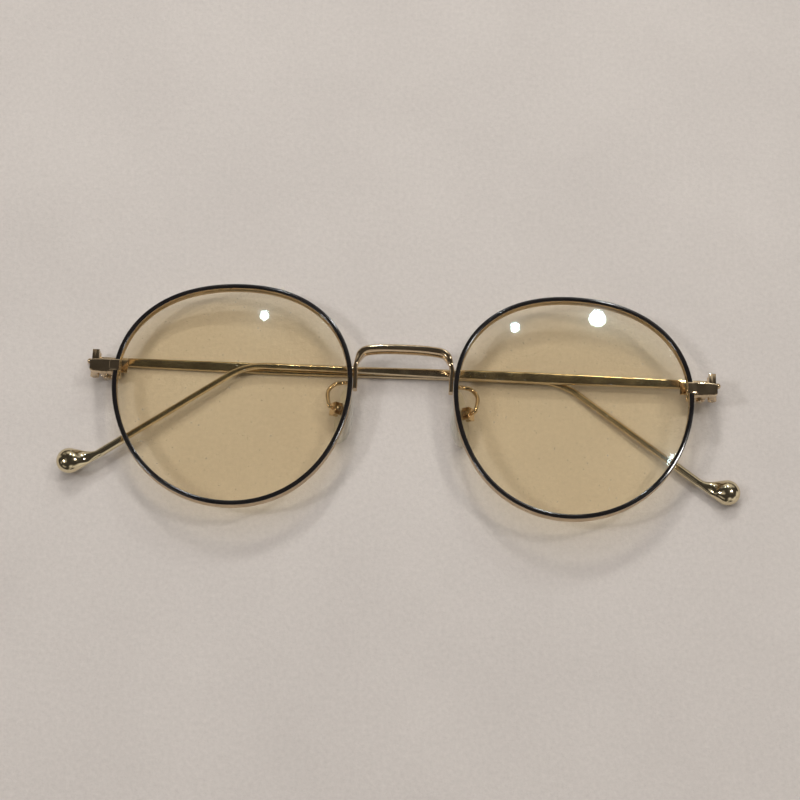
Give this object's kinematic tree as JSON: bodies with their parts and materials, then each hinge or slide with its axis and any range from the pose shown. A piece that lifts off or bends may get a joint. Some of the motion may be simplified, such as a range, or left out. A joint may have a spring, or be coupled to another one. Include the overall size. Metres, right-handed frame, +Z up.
{
  "type": "folding metal spectacles",
  "caption": "Folding metal spectacles with round tinted lenses in black-faced gold rims, adjustable nose pads and slim temples ending in flattened metal balls.",
  "frame": {"origin": "under the middle of the bounding box, on the surface the folded glasses lie on", "axes": "+X towards the wearer's left end piece, +Y towards the top of the frame, +Z up, away from the surface and out of the lenses' front"},
  "size_m": [0.1422, 0.0494, 0.0109],
  "materials": {
    "gold_metal": "polished pale gold plating",
    "lacquered_rim": "gloss black lacquer on the front face, polished gold on the sides and back",
    "screw_steel": "turned and polished, slotted heads",
    "tinted_lens": "clear pale amber with a bluish anti-reflection coat",
    "clear_silicone": "translucent, satin"
  },
  "bodies": {
    "front": {"bridge": "gold_metal", "left_rim": "lacquered_rim", "left_lens": "tinted_lens", "left_endpiece": "gold_metal", "left_lock_upper": "gold_metal", "left_lock_lower": "gold_metal", "left_lock_screw": "screw_steel", "left_hinge_front_leaf": "gold_metal", "left_hinge_screw": "screw_steel", "left_pad_arm": "gold_metal", "left_pad_box": "gold_metal", "left_pad_screw": "screw_steel", "right_rim": "lacquered_rim", "right_lens": "tinted_lens", "right_endpiece": "gold_metal", "right_lock_upper": "gold_metal", "right_lock_lower": "gold_metal", "right_lock_screw": "screw_steel", "right_hinge_front_leaf": "gold_metal", "right_hinge_screw": "screw_steel", "right_pad_arm": "gold_metal", "right_pad_box": "gold_metal", "right_pad_screw": "screw_steel"},
    "left_temple_assembly": {"left_hinge_temple_leaf": "gold_metal", "left_temple": "gold_metal", "left_stud": "gold_metal", "left_temple_tip": "gold_metal"},
    "left_nose_pad_assembly": {"left_pad_insert": "screw_steel", "left_nose_pad": "clear_silicone"},
    "right_temple_assembly": {"right_hinge_temple_leaf": "gold_metal", "right_temple": "gold_metal", "right_stud": "gold_metal", "right_temple_tip": "gold_metal"},
    "right_nose_pad_assembly": {"right_pad_insert": "screw_steel", "right_nose_pad": "clear_silicone"}
  },
  "joints": [
    {"name": "left_temple_hinge", "type": "hinge", "parent": "front", "child": "left_temple_assembly", "pos_m": [0.0649, 0.00626, 0.00481], "axis": [-0.0004, -0.9983, 0.0581], "range_deg": [0, 92]},
    {"name": "right_temple_hinge", "type": "hinge", "parent": "front", "child": "right_temple_assembly", "pos_m": [-0.06489, 0.0062, 0.00295], "axis": [0.0004, 0.9983, -0.0581], "range_deg": [0, 92]},
    {"name": "left_nose_pad_rock", "type": "hinge", "parent": "front", "child": "left_nose_pad_assembly", "pos_m": [0.0138, -0.00165, 0.00464], "axis": [-0.5361, -0.0578, 0.8422], "range_deg": [-8, 8]},
    {"name": "right_nose_pad_rock", "type": "hinge", "parent": "front", "child": "right_nose_pad_assembly", "pos_m": [-0.0138, -0.00166, 0.00424], "axis": [0.5117, -0.0574, 0.8573], "range_deg": [-8, 8]}
  ]
}
